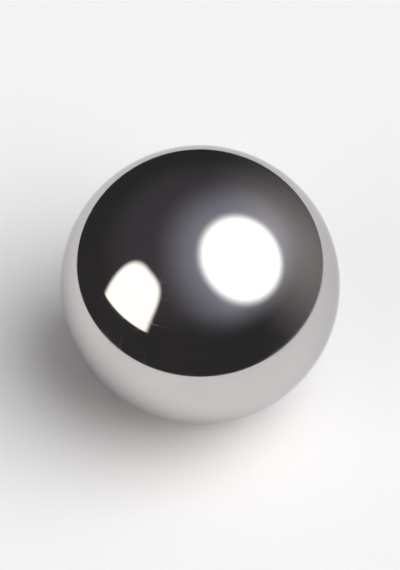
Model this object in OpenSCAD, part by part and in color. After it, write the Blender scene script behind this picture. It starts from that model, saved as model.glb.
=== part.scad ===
// Loose steel ball: one solid, ground and lapped to a true sphere.
// Millimetres, +Z up, with the origin at the ball's centre.

/* [Ball] */
// Diameter of the ball
ball_d = 10; // [3:0.5:25]

/* [Hidden] */

// Flats round the ball where it is shown as a mesh: the solid itself is a true sphere.
ball_flats = 128;

// Mirror-polished steel.
polished_steel = [0.76, 0.76, 0.78];

// The ball is the same in every direction, with no flat, hole, seam or pole.
module ball() {
    color(polished_steel)
        sphere(d = ball_d, $fn = ball_flats);
}

ball();
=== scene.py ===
"""A mirror-polished steel ball, lying alone on a pale studio floor.

The ball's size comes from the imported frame. Everything is in metres, +Z up, and the origin
is the ball's centre. The ball and the studio have an operator each, and the panel lists both
with their settings.
"""

import math

import bpy
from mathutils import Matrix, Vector


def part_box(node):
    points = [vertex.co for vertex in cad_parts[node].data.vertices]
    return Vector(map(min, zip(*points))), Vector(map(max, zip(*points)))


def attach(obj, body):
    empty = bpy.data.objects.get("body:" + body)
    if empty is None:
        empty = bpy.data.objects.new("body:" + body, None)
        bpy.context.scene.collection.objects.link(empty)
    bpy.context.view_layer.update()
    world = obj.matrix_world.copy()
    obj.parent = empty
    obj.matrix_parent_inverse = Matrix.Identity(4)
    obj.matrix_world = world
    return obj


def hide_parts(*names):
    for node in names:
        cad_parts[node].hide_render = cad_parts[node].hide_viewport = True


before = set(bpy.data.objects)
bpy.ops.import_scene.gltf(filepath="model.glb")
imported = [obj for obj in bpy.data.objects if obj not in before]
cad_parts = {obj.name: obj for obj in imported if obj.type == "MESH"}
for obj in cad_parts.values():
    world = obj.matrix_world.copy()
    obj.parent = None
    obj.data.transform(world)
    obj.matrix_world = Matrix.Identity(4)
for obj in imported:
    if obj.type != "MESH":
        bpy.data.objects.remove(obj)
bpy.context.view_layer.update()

bl_info = {
    "name": "Steel ball",
    "version": (1, 0, 0),
    "blender": (4, 5, 0),
    "location": "3D View > Sidebar > Steel ball",
    "description": "Dresses a loose steel ball and lays it on a pale studio floor",
    "category": "Object",
}

BODY = "root"
NODE = "ball"
MM = 0.001

# The picture is upright: its long side is the one that the camera's sensor width covers.
PICTURE_W = 400
PICTURE_H = 570


def packed_diameter():
    """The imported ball's diameter: the widest side of its box, since a mesh of a sphere only
    falls short."""
    low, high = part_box(NODE)
    return max(high - low)


# ---------------------------------------------------------------- settings


class SteelBallShape(bpy.types.PropertyGroup):
    """The ball's size and how finely its surface is laid out."""

    diameter: bpy.props.FloatProperty(
        name="Diameter",
        description="Diameter of the ball",
        subtype="DISTANCE",
        default=packed_diameter(),
        min=1 * MM,
        max=100 * MM,
        precision=5,
    )
    side_steps: bpy.props.IntProperty(
        name="Side steps",
        description="Facets along each edge of the six sides that the surface is laid out on",
        default=96,
        min=8,
        max=128,
    )


class SteelBallFinish(bpy.types.PropertyGroup):
    """The polished steel: its colour, its polish and what handling has left on it."""

    steel: bpy.props.FloatVectorProperty(
        name="Steel",
        description="Colour that the bare steel reflects face on",
        subtype="COLOR",
        default=(0.620, 0.597, 0.580),
        min=0,
        max=1,
    )
    cool_steel: bpy.props.FloatVectorProperty(
        name="Cool steel",
        description="Colour of the steel where its natural oxide film is thickest",
        subtype="COLOR",
        default=(0.585, 0.568, 0.565),
        min=0,
        max=1,
    )
    edge_tint: bpy.props.FloatVectorProperty(
        name="Edge tint",
        description="Tint of the reflection where the surface turns away from the eye",
        subtype="COLOR",
        default=(0.77, 0.77, 0.80),
        min=0,
        max=1,
    )
    polish: bpy.props.FloatProperty(
        name="Polish",
        description="Roughness of the clean lapped surface",
        subtype="FACTOR",
        default=0.05,
        min=0,
        max=1,
    )
    film: bpy.props.FloatProperty(
        name="Handling film",
        description="Roughness that a thin film of oil adds where the ball was handled",
        subtype="FACTOR",
        default=0.06,
        min=0,
        max=1,
    )
    scuff: bpy.props.FloatProperty(
        name="Scuff",
        description="Roughness that the hairlines left by lapping and handling add",
        subtype="FACTOR",
        default=0.15,
        min=0,
        max=1,
    )
    hairline_width: bpy.props.FloatProperty(
        name="Hairline width",
        description="Width of the widest hairlines",
        subtype="DISTANCE",
        default=0.03 * MM,
        min=0.001 * MM,
        max=1 * MM,
        precision=6,
    )
    hairline_length: bpy.props.FloatProperty(
        name="Hairline length",
        description="Usual length of a hairline",
        subtype="DISTANCE",
        default=3.2 * MM,
        min=0.01 * MM,
        max=10 * MM,
        precision=5,
    )
    waviness: bpy.props.FloatProperty(
        name="Waviness",
        description="Height of the faint unevenness that lapping leaves in the round form",
        subtype="DISTANCE",
        default=0.0014 * MM,
        min=0,
        max=0.1 * MM,
        precision=6,
    )


class SteelBallStudio(bpy.types.PropertyGroup):
    """The floor, the dark card on it, and the dim room with its lights."""

    floor: bpy.props.FloatVectorProperty(
        name="Floor",
        description="Colour of the pale matt floor",
        subtype="COLOR",
        default=(0.905, 0.90, 0.88),
        min=0,
        max=1,
    )
    far_floor: bpy.props.FloatVectorProperty(
        name="Far floor",
        description="Tone of the lit floor, which carries on past the floor's rim",
        subtype="COLOR",
        default=(0.9045, 0.893, 0.892),
        min=0,
        max=1,
    )
    floor_radius: bpy.props.FloatProperty(
        name="Floor radius",
        description="Radius of the floor, which fades into the far floor towards its rim",
        subtype="DISTANCE",
        default=0.42,
        min=0.1,
        max=10,
    )
    # The card is a painted dark reflection: only the steel's reflections show it.
    card: bpy.props.FloatVectorProperty(
        name="Card",
        description="Colour of the dark card that lies round the ball's clearing",
        subtype="COLOR",
        default=(0.036, 0.035, 0.0345),
        min=0,
        max=1,
    )
    card_radius: bpy.props.FloatProperty(
        name="Card radius",
        description="Radius of the dark card",
        subtype="DISTANCE",
        default=3,
        min=0.1,
        max=10,
    )
    clearing: bpy.props.FloatProperty(
        name="Clearing",
        description="Radius of the round opening in the dark card, in ball diameters",
        default=2.0,
        min=1,
        max=50,
    )
    clearing_back: bpy.props.FloatProperty(
        name="Clearing back",
        description="How far behind the ball the opening's middle lies, in ball diameters",
        default=0.6,
        min=0,
        max=50,
    )
    low_room: bpy.props.FloatVectorProperty(
        name="Low room",
        description="Colour of the dim room at the floor",
        subtype="COLOR",
        default=(0.036, 0.035, 0.0345),
        min=0,
        max=1,
    )
    high_room: bpy.props.FloatVectorProperty(
        name="High room",
        description="Colour of the dim room overhead",
        subtype="COLOR",
        default=(0.062, 0.059, 0.066),
        min=0,
        max=1,
    )
    key_tint: bpy.props.FloatVectorProperty(
        name="Key tint",
        description="Colour of the large soft light",
        subtype="COLOR",
        default=(1.0, 1.0, 0.99),
        min=0,
        max=1,
    )
    key_strength: bpy.props.FloatProperty(
        name="Key strength",
        description="Brightness of the large soft light",
        default=3.2,
        min=0,
        max=50,
    )
    key_azimuth: bpy.props.FloatProperty(
        name="Key azimuth",
        description="How far round to the right of the camera the large light stands",
        subtype="ANGLE",
        default=math.radians(70),
    )
    key_elevation: bpy.props.FloatProperty(
        name="Key elevation",
        description="Height of the large light above the horizon",
        subtype="ANGLE",
        default=math.radians(53),
    )
    key_spread: bpy.props.FloatProperty(
        name="Key spread",
        description="Half the angle that the large light covers, seen from the ball",
        subtype="ANGLE",
        default=math.radians(31.5),
    )
    key_edge: bpy.props.FloatProperty(
        name="Key edge",
        description="Angle over which the large light's rim fades",
        subtype="ANGLE",
        default=math.radians(16),
    )
    spill_tint: bpy.props.FloatVectorProperty(
        name="Spill tint",
        description="Colour of the light that spills on the room round the large light",
        subtype="COLOR",
        default=(0.285, 0.288, 0.354),
        min=0,
        max=1,
    )
    spill_reach: bpy.props.FloatProperty(
        name="Spill reach",
        description="How far from the large light's middle its spill dies away",
        subtype="ANGLE",
        default=math.radians(76),
    )
    side_tint: bpy.props.FloatVectorProperty(
        name="Side tint",
        description="Colour of the smaller light",
        subtype="COLOR",
        default=(1.0, 0.965, 0.92),
        min=0,
        max=1,
    )
    side_strength: bpy.props.FloatProperty(
        name="Side strength",
        description="Brightness of the smaller light",
        default=1.8,
        min=0,
        max=50,
    )
    side_azimuth: bpy.props.FloatProperty(
        name="Side azimuth",
        description="How far round to the right of the camera the smaller light stands",
        subtype="ANGLE",
        default=math.radians(-62),
    )
    side_elevation: bpy.props.FloatProperty(
        name="Side elevation",
        description="Height of the smaller light above the horizon",
        subtype="ANGLE",
        default=math.radians(13),
    )
    side_half_width: bpy.props.FloatProperty(
        name="Side half width",
        description="Half the smaller light's width, as an angle seen from the ball",
        subtype="ANGLE",
        default=math.radians(21.5),
    )
    side_half_height: bpy.props.FloatProperty(
        name="Side half height",
        description="Half the smaller light's height, as an angle seen from the ball",
        subtype="ANGLE",
        default=math.radians(29),
    )
    # The bounced light lights the room; on the dark card its colour is also a painted sheen.
    bounce_tint: bpy.props.FloatVectorProperty(
        name="Bounce tint",
        description="Colour of the faint light that bounces back from behind on the right",
        subtype="COLOR",
        default=(0.265, 0.257, 0.255),
        min=0,
        max=1,
    )
    bounce_azimuth: bpy.props.FloatProperty(
        name="Bounce azimuth",
        description="How far round to the right of the camera the bounced light's middle is",
        subtype="ANGLE",
        default=math.radians(112),
    )
    bounce_elevation: bpy.props.FloatProperty(
        name="Bounce elevation",
        description="Height of the bounced light's middle above the horizon",
        subtype="ANGLE",
        default=math.radians(8),
    )
    bounce_reach: bpy.props.FloatProperty(
        name="Bounce reach",
        description="How far from its middle the bounced light dies away",
        subtype="ANGLE",
        default=math.radians(67),
    )


class SteelBallCamera(bpy.types.PropertyGroup):
    """Where the picture is taken from, and how closely it frames the ball."""

    elevation: bpy.props.FloatProperty(
        name="Elevation",
        description="How far above the horizon the camera stands",
        subtype="ANGLE",
        default=math.radians(50),
    )
    distance: bpy.props.FloatProperty(
        name="Distance",
        description="Distance from the ball, in ball diameters",
        default=35,
        min=2,
        max=200,
    )
    ball_share: bpy.props.FloatProperty(
        name="Ball share",
        description="Share of the picture's width that the ball fills",
        subtype="FACTOR",
        default=0.70,
        min=0.05,
        max=1,
    )


# ---------------------------------------------------------------- node bench


class NodeBench:
    """Short names for the steps that build a node tree."""

    def __init__(self, tree):
        self.tree = tree
        tree.nodes.clear()

    def add(self, kind, **settings):
        node = self.tree.nodes.new(kind)
        for name, value in settings.items():
            setattr(node, name, value)
        return node

    def feed(self, socket, value):
        """Links a socket to another node's output, or sets it to a plain value."""
        if isinstance(value, bpy.types.NodeSocket):
            self.tree.links.new(value, socket)
        else:
            socket.default_value = value

    def maths(self, operation, *values, clamp=False):
        node = self.add("ShaderNodeMath", operation=operation, use_clamp=clamp)
        for socket, value in zip(node.inputs, values):
            self.feed(socket, value)
        return node.outputs[0]

    def dot(self, first, second):
        node = self.add("ShaderNodeVectorMath", operation="DOT_PRODUCT")
        self.feed(node.inputs[0], first)
        self.feed(node.inputs[1], second)
        return node.outputs["Value"]

    def sum(self, first, second):
        """Two colours or vectors added."""
        node = self.add("ShaderNodeVectorMath", operation="ADD")
        self.feed(node.inputs[0], first)
        self.feed(node.inputs[1], second)
        return node.outputs["Vector"]

    def scaled(self, strength, colour):
        """A colour or vector times a number."""
        node = self.add("ShaderNodeVectorMath", operation="SCALE")
        self.feed(node.inputs["Vector"], colour)
        self.feed(node.inputs["Scale"], strength)
        return node.outputs["Vector"]

    def step(self, value, start, end, low=0.0, high=1.0):
        """low at start and past it, high at end and past it, with an eased step between."""
        node = self.add("ShaderNodeMapRange", interpolation_type="SMOOTHSTEP")
        limits = {"From Min": start, "From Max": end, "To Min": low, "To Max": high}
        self.feed(node.inputs["Value"], value)
        for name, limit in limits.items():
            self.feed(node.inputs[name], limit)
        return node.outputs["Result"]

    def angle(self, first, second):
        """The angle between two unit vectors."""
        return self.maths("ARCCOSINE", self.dot(first, second))

    def distance(self, place):
        """How far a place is from the origin."""
        node = self.add("ShaderNodeVectorMath", operation="LENGTH")
        self.feed(node.inputs[0], place)
        return node.outputs["Value"]

    def direction(self, place):
        """The unit vector from the origin to a place."""
        node = self.add("ShaderNodeVectorMath", operation="NORMALIZE")
        self.feed(node.inputs[0], place)
        return node.outputs["Vector"]

    def blend(self, share, first, second):
        """A colour between two, by share."""
        node = self.add("ShaderNodeMix", data_type="RGBA")
        factor, a, b = [s for s in node.inputs if s.enabled]
        self.feed(factor, share)
        self.feed(a, first)
        self.feed(b, second)
        return next(s for s in node.outputs if s.enabled)

    def noise(self, place, scale, detail, distortion=0.0):
        """Smooth noise: scale is how fine it is, and detail is how many finer layers it has."""
        node = self.add("ShaderNodeTexNoise")
        self.feed(node.inputs["Vector"], place)
        self.feed(node.inputs["Scale"], scale)
        self.feed(node.inputs["Detail"], detail)
        self.feed(node.inputs["Distortion"], distortion)
        return node.outputs["Fac"]

    def show(self, surface, output="ShaderNodeOutputMaterial"):
        """Ends the tree in an output that shows the surface."""
        self.feed(self.add(output).inputs["Surface"], surface)


def opaque(colour):
    """A colour with full alpha, as a colour socket takes it."""
    return (*colour, 1.0)


def new_material(name):
    """An empty material and the bench to build it on."""
    material = bpy.data.materials.new(name)
    material.use_nodes = True
    return material, NodeBench(material.node_tree)


# ---------------------------------------------------------------- the ball


# The ball's flat sheet holds its six sides in columns and rows, and each side has a margin,
# as a share of its place.
UV_NAME = "OFBake"
UV_COLUMNS = 3
UV_ROWS = 2
UV_MARGIN = 0.02


def sides():
    """The six sides of a cube as an outward axis and its sign, each with its place on the
    flat sheet."""
    places = [(column, row) for row in range(UV_ROWS) for column in range(UV_COLUMNS)]
    outward = [(axis, sign) for sign in (1, -1) for axis in range(3)]
    return zip(outward, places)


def round_ball_mesh(radius, steps):
    """A sphere laid out on the six sides of a cube, so that it has no poles: each side is a
    grid of equal angles, and the sides share the points along their edges."""
    grid_lines = [math.tan(math.pi / 4 * (2 * i / steps - 1)) for i in range(steps + 1)]
    points = {}
    places = []
    faces = []
    uvs = []

    def point(lattice):
        if lattice not in points:
            points[lattice] = len(places)
            places.append(Vector([grid_lines[i] for i in lattice]).normalized() * radius)
        return points[lattice]

    def sheet_place(column, row, a, b):
        inner = 1 - 2 * UV_MARGIN
        return (
            (column + UV_MARGIN + inner * a / steps) / UV_COLUMNS,
            (row + UV_MARGIN + inner * b / steps) / UV_ROWS,
        )

    for (axis, sign), (column, row) in sides():
        across, along = (axis + 1) % 3, (axis + 2) % 3
        for a in range(steps):
            for b in range(steps):
                ring = [(a, b), (a + 1, b), (a + 1, b + 1), (a, b + 1)]
                if sign < 0:
                    ring.reverse()
                face = []
                for step_a, step_b in ring:
                    lattice = [0, 0, 0]
                    lattice[axis] = steps if sign > 0 else 0
                    lattice[across] = step_a
                    lattice[along] = step_b
                    face.append(point(tuple(lattice)))
                    uvs.append(sheet_place(column, row, step_a, step_b))
                faces.append(face)

    mesh = bpy.data.meshes.new(NODE)
    mesh.from_pydata(places, [], faces)
    sheet = mesh.uv_layers.new(name=UV_NAME)
    for loop, place in zip(sheet.data, uvs):
        loop.uv = place
    mesh.shade_smooth()
    mesh.normals_split_custom_set_from_vertices([p.normalized() for p in places])
    return mesh


# Each noise's scale is per millimetre, apart from the hairlines' one, which is per width and
# length of a hairline. The steps are where a noise starts to show and where it shows in full.
OXIDE_NOISE = {"scale": 0.22, "detail": 3, "distortion": 0.4}
OXIDE_STEP = (0.35, 0.65)
FILM_NOISE = {"scale": 0.33, "detail": 5, "distortion": 0.8}
FILM_STEP = (0.46, 0.74)
WAVE_NOISE = {"scale": 0.45, "detail": 1}
HAIRLINE_NOISE = {"scale": 1, "detail": 1}
HAIRLINE_STEP = (0.70, 0.84)

# The hairlines run in this many ways. From one way to the next, the turns about the three
# axes grow unlike each other, so that no two ways run alike.
HAIRLINE_WAYS = 7
HAIRLINE_TURN = math.radians(137.5)


def hairlines(bench, place, width, length):
    """Sparse fine lines that run round the ball in several ways, as lapping and rubbing
    against other balls leave them: 1 in a hairline, 0 off it."""
    marks = None
    for way in range(HAIRLINE_WAYS):
        turned = bench.add("ShaderNodeMapping", vector_type="TEXTURE")
        bench.feed(turned.inputs["Vector"], place)
        turned.inputs["Rotation"].default_value = (
            HAIRLINE_TURN * way,
            HAIRLINE_TURN * way * way,
            way,
        )
        turned.inputs["Scale"].default_value = (width, length, length)
        lines = bench.noise(turned.outputs["Vector"], **HAIRLINE_NOISE)
        lines = bench.step(lines, *HAIRLINE_STEP)
        marks = lines if marks is None else bench.maths("MAXIMUM", marks, lines)
    return marks


def polished_steel(finish):
    """Bare steel, lapped to a mirror. Its colour drifts with its oxide film, its polish is
    duller in hairlines and where it was handled, and a faint waviness bends its
    reflections."""
    material, bench = new_material("polished_steel")
    shader = bench.add("ShaderNodeBsdfPrincipled")
    shader.inputs["Metallic"].default_value = 1.0
    shader.inputs["Specular Tint"].default_value = opaque(finish.edge_tint)
    bench.show(shader.outputs["BSDF"])

    place = bench.add("ShaderNodeTexCoord").outputs["Object"]
    place = bench.scaled(1 / MM, place)

    oxide = bench.step(bench.noise(place, **OXIDE_NOISE), *OXIDE_STEP)
    colour = bench.blend(oxide, opaque(finish.steel), opaque(finish.cool_steel))
    bench.feed(shader.inputs["Base Color"], colour)

    marks = hairlines(bench, place, finish.hairline_width / MM, finish.hairline_length / MM)
    film = bench.step(bench.noise(place, **FILM_NOISE), *FILM_STEP, 0, finish.film)
    rough = bench.maths("ADD", film, finish.polish)
    scuff = bench.maths("MULTIPLY", marks, finish.scuff)
    rough = bench.maths("ADD", rough, scuff, clamp=True)
    bench.feed(shader.inputs["Roughness"], rough)

    waves = bench.noise(place, **WAVE_NOISE)
    bump = bench.add("ShaderNodeBump")
    bump.inputs["Distance"].default_value = 1.0
    bench.feed(bump.inputs["Height"], bench.maths("MULTIPLY", waves, finish.waviness))
    bench.feed(shader.inputs["Normal"], bump.outputs["Normal"])
    return material


class STEELBALL_OT_add_ball(bpy.types.Operator):
    """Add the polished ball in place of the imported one"""

    bl_idname = "steelball.add_ball"
    bl_label = "Add the ball"

    def execute(self, context):
        shape = context.scene.steel_ball_shape
        mesh = round_ball_mesh(shape.diameter / 2, shape.side_steps)
        mesh.materials.append(polished_steel(context.scene.steel_ball_finish))
        ball = bpy.data.objects.new("polished_ball", mesh)
        context.scene.collection.objects.link(ball)
        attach(ball, BODY)
        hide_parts(NODE)
        return {"FINISHED"}


# ---------------------------------------------------------------- the room and its lights


# Heights are those of a direction of length 1, from -1 straight down to 1 straight up: where
# the room reaches its high colour, where the spill reaches its full strength, and where the
# ground's tone gives way to the room.
ROOM_RISE = 0.65
SPILL_RISE = 0.5
GROUND_START = -0.016
GROUND_END = -0.008

# The smaller light's outline is a superellipse of this power, and its rim fades over this
# share of its half size either way. How squarely a direction faces the light is kept above
# the last value, because the outline is divided by it.
SIDE_SQUARENESS = 3
SIDE_EDGE = 0.12
LEAST_FACING = 0.01


def towards(azimuth, elevation):
    """The unit vector to something seen from the ball. Azimuth 0 is the camera's side, -Y,
    and it grows towards +X, on the camera's right."""
    level = math.cos(elevation)
    return Vector(
        (
            math.sin(azimuth) * level,
            -math.cos(azimuth) * level,
            math.sin(elevation),
        )
    )


def light_axes(aim):
    """The way to the right and the way up, as seen from the ball looking at a light."""
    right = aim.cross(Vector((0, 0, 1))).normalized()
    return right, right.cross(aim)


def large_light(bench, direction, height, studio):
    """A large round soft light, and its spill on the room round it, which fades towards the
    floor."""
    aim = towards(studio.key_azimuth, studio.key_elevation)
    angle = bench.angle(direction, aim)
    half = studio.key_edge / 2
    box = bench.step(
        angle, studio.key_spread + half, studio.key_spread - half, 0, studio.key_strength
    )
    spill = bench.step(angle, studio.spill_reach, studio.key_spread - half)
    spill = bench.maths("MULTIPLY", spill, bench.step(height, 0, SPILL_RISE))
    return bench.sum(
        bench.scaled(box, studio.key_tint), bench.scaled(spill, studio.spill_tint)
    )


def small_light(bench, direction, studio):
    """A smaller upright light with rounded corners."""
    aim = towards(studio.side_azimuth, studio.side_elevation)
    facing = bench.dot(direction, aim)
    ahead = bench.maths("MAXIMUM", facing, LEAST_FACING)
    total = 0.0
    for way, half in zip(light_axes(aim), (studio.side_half_width, studio.side_half_height)):
        off = bench.maths("DIVIDE", bench.dot(direction, way), ahead)
        off = bench.maths("ABSOLUTE", bench.maths("DIVIDE", off, math.tan(half)))
        total = bench.maths("ADD", bench.maths("POWER", off, SIDE_SQUARENESS), total)
    reach = bench.maths("POWER", total, 1 / SIDE_SQUARENESS)
    lit = bench.step(reach, 1 + SIDE_EDGE, 1 - SIDE_EDGE, 0, studio.side_strength)
    lit = bench.maths("MULTIPLY", lit, bench.maths("GREATER_THAN", facing, 0))
    return bench.scaled(lit, studio.side_tint)


def bounced_light(bench, direction, studio):
    """A faint round glow behind the ball on the right, as a large grey board would give."""
    aim = towards(studio.bounce_azimuth, studio.bounce_elevation)
    glow = bench.step(bench.angle(direction, aim), studio.bounce_reach, 0)
    return bench.scaled(glow, studio.bounce_tint)


def dark_room(studio):
    """The surroundings: a dim room with its lights, and the lit floor's tone below."""
    world = bpy.data.worlds.new("dark_room")
    world.use_nodes = True
    bench = NodeBench(world.node_tree)
    direction = bench.add("ShaderNodeTexCoord").outputs["Generated"]
    split = bench.add("ShaderNodeSeparateXYZ")
    bench.feed(split.inputs[0], direction)
    height = split.outputs["Z"]
    up_room = bench.step(height, 0, ROOM_RISE)
    room = bench.blend(up_room, opaque(studio.low_room), opaque(studio.high_room))
    above = bench.sum(room, large_light(bench, direction, height, studio))
    above = bench.sum(above, small_light(bench, direction, studio))
    above = bench.sum(above, bounced_light(bench, direction, studio))
    rise = bench.step(height, GROUND_START, GROUND_END)
    colour = bench.blend(rise, opaque(studio.far_floor), above)
    background = bench.add("ShaderNodeBackground")
    bench.feed(background.inputs["Color"], colour)
    bench.show(background.outputs[0], "ShaderNodeOutputWorld")
    return world


# ---------------------------------------------------------------- the floor and the card


CIRCLE_SIDES = 144
CARD_THICKNESS = 0.3 * MM
# The share of the floor's radius at which it starts to fade.
FADE_START = 0.45


def matt(bench, colour):
    """A plain matt surface."""
    surface = bench.add("ShaderNodeBsdfDiffuse")
    surface.inputs["Color"].default_value = opaque(colour)
    return surface.outputs["BSDF"]


def pale_floor(studio):
    """A matt floor that fades out to nothing towards its rim."""
    material, bench = new_material("pale_floor")
    place = bench.add("ShaderNodeTexCoord").outputs["Object"]
    radius = studio.floor_radius
    gone = bench.step(bench.distance(place), radius * FADE_START, radius)
    clear = bench.add("ShaderNodeBsdfTransparent").outputs["BSDF"]
    mix = bench.add("ShaderNodeMixShader")
    for socket, value in zip(mix.inputs, (gone, matt(bench, studio.floor), clear)):
        bench.feed(socket, value)
    bench.show(mix.outputs["Shader"])
    return material


def dark_card(studio):
    """Dark matt card with a painted sheen: the bounced light's glow is added to it as emission,
    so that the light carries on below the horizon."""
    material, bench = new_material("dark_card")
    place = bench.add("ShaderNodeTexCoord").outputs["Object"]
    # Painted sheen: an emission in the bounced light's colour, not light that falls on the
    # card.
    painted_sheen = bench.add("ShaderNodeEmission")
    bench.feed(painted_sheen.inputs["Color"], bounced_light(bench, bench.direction(place), studio))
    both = bench.add("ShaderNodeAddShader")
    bench.feed(both.inputs[0], matt(bench, studio.card))
    bench.feed(both.inputs[1], painted_sheen.outputs["Emission"])
    bench.show(both.outputs["Shader"])
    return material


def add_stage_piece(context, mesh, material):
    """Adds a mesh that belongs to the stage and not to the ball."""
    piece = bpy.data.objects.new(mesh.name, mesh)
    mesh.materials.append(material)
    context.scene.collection.objects.link(piece)
    return piece


def level_circle(radius, height, middle_y=0):
    """Points round a level circle."""
    turns = [2 * math.pi * i / CIRCLE_SIDES for i in range(CIRCLE_SIDES)]
    return [
        (radius * math.cos(turn), middle_y + radius * math.sin(turn), height) for turn in turns
    ]


def add_floor(context, studio, height):
    """A round flat floor."""
    mesh = bpy.data.meshes.new("floor")
    rim = level_circle(studio.floor_radius, height)
    mesh.from_pydata(rim, [], [range(CIRCLE_SIDES)])
    add_stage_piece(context, mesh, pale_floor(studio))


def add_card(context, studio, diameter):
    """A dark card that lies on the floor, so that the steel has something dark to mirror: a
    painted dark reflection where the camera sees the lit floor. The ball lies in a round
    opening in it, nearer to the opening's front edge. Only reflections show the card, and the
    floor stays plain."""
    height = CARD_THICKNESS - diameter / 2
    hole = level_circle(studio.clearing * diameter, height, studio.clearing_back * diameter)
    rim = level_circle(studio.card_radius, height)
    faces = []
    for i in range(CIRCLE_SIDES):
        j = (i + 1) % CIRCLE_SIDES
        faces.append((i, CIRCLE_SIDES + i, CIRCLE_SIDES + j, j))
    mesh = bpy.data.meshes.new("dark_card")
    mesh.from_pydata(hole + rim, [], faces)
    card = add_stage_piece(context, mesh, dark_card(studio))
    # Hidden from the camera, from diffuse light and from shadows: the card is only a painted
    # dark reflection in the steel.
    card.visible_camera = False
    card.visible_diffuse = False
    card.visible_shadow = False


# ---------------------------------------------------------------- the camera and the studio


# How near and how far the camera sees, in its distances from the ball.
NEAR_CLIP = 0.01
FAR_CLIP = 20


def add_camera(context, shot, diameter):
    """A camera on the ball, with the lens that makes the ball fill its share of the width."""
    camera = bpy.data.objects.new("camera", bpy.data.cameras.new("camera"))
    distance = shot.distance * diameter
    back = towards(0, shot.elevation)
    camera.location = back * distance
    camera.rotation_euler = (-back).to_track_quat("-Z", "Y").to_euler()
    half_w = math.tan(math.asin(diameter / 2 / distance)) / shot.ball_share
    half_h = half_w * PICTURE_H / PICTURE_W
    camera.data.lens = camera.data.sensor_width / 2 / half_h
    camera.data.clip_start = distance * NEAR_CLIP
    camera.data.clip_end = distance * FAR_CLIP
    context.scene.collection.objects.link(camera)
    context.scene.camera = camera


class STEELBALL_OT_add_studio(bpy.types.Operator):
    """Add the floor, the dark card on it, the room with its lights, and the camera"""

    bl_idname = "steelball.add_studio"
    bl_label = "Add the studio"

    def execute(self, context):
        scene = context.scene
        studio = scene.steel_ball_studio
        shot = scene.steel_ball_camera
        diameter = scene.steel_ball_shape.diameter
        add_floor(context, studio, -diameter / 2)
        add_card(context, studio, diameter)
        add_camera(context, shot, diameter)
        scene.world = dark_room(studio)
        scene.view_settings.view_transform = "Standard"
        return {"FINISHED"}


# ---------------------------------------------------------------- panel and registration


SETTINGS = (
    ("Shape", "steel_ball_shape", SteelBallShape),
    ("Finish", "steel_ball_finish", SteelBallFinish),
    ("Studio", "steel_ball_studio", SteelBallStudio),
    ("Camera", "steel_ball_camera", SteelBallCamera),
)
OPERATORS = (STEELBALL_OT_add_ball, STEELBALL_OT_add_studio)


class STEELBALL_PT_panel(bpy.types.Panel):
    """The steel ball's settings and its operators"""

    bl_idname = "STEELBALL_PT_panel"
    bl_label = "Steel ball"
    bl_space_type = "VIEW_3D"
    bl_region_type = "UI"
    bl_category = "Steel ball"

    def draw(self, context):
        for heading, name, group in SETTINGS:
            box = self.layout.box()
            box.label(text=heading)
            for field in group.__annotations__:
                box.prop(getattr(context.scene, name), field)
        for operator in OPERATORS:
            self.layout.operator(operator.bl_idname)


CLASSES = (*(group for _, _, group in SETTINGS), *OPERATORS, STEELBALL_PT_panel)


def register():
    for cls in CLASSES:
        bpy.utils.register_class(cls)
    for _, name, group in SETTINGS:
        setattr(bpy.types.Scene, name, bpy.props.PointerProperty(type=group))


def unregister():
    for _, name, _ in SETTINGS:
        delattr(bpy.types.Scene, name)
    for cls in reversed(CLASSES):
        bpy.utils.unregister_class(cls)


def main():
    register()
    bpy.ops.steelball.add_ball()
    bpy.ops.steelball.add_studio()


if __name__ == "__main__":
    main()
